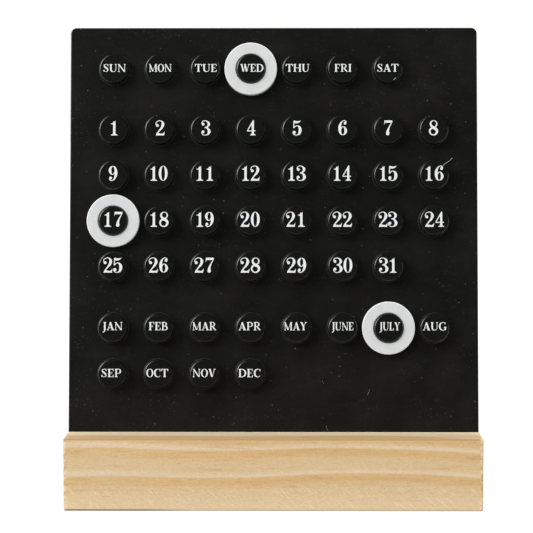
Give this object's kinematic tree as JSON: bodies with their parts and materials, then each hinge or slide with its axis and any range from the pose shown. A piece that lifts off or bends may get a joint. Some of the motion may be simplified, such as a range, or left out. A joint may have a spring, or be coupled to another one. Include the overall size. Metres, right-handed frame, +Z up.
{
  "type": "perpetual desk calendar",
  "caption": "Black studded calendar board leaning in a slotted pine block, with white rings that mark the weekday, date and month.",
  "frame": {"origin": "middle of the wooden block's underside", "axes": "+Z up, -Y to the front where the studs face, +X to the viewer's right"},
  "size_m": [0.1436, 0.04, 0.1654],
  "materials": {
    "pine": "planed and sanded, bare",
    "black_board": "fine matte moulding",
    "white_ring": "smooth satin moulding"
  },
  "bodies": {
    "base": {"base_block": "pine"},
    "board": {"board_panel": "black_board", "weekday_studs": "black_board", "date_studs": "black_board", "month_studs": "black_board"},
    "weekday_marker": {"weekday_ring": "white_ring"},
    "date_marker": {"date_ring": "white_ring"},
    "month_marker": {"month_ring": "white_ring"}
  },
  "joints": [
    {"name": "board_lift", "type": "slide", "parent": "base", "child": "board", "axis": [0, 0.1392, 0.9903], "range_m": [0, 0.025]},
    {"name": "weekday_ring_lift", "type": "slide", "parent": "board", "child": "weekday_marker", "axis": [0, -0.9903, 0.1392], "range_m": [0, 0.015]},
    {"name": "date_ring_lift", "type": "slide", "parent": "board", "child": "date_marker", "axis": [0, -0.9903, 0.1392], "range_m": [0, 0.015]},
    {"name": "month_ring_lift", "type": "slide", "parent": "board", "child": "month_marker", "axis": [0, -0.9903, 0.1392], "range_m": [0, 0.015]}
  ]
}
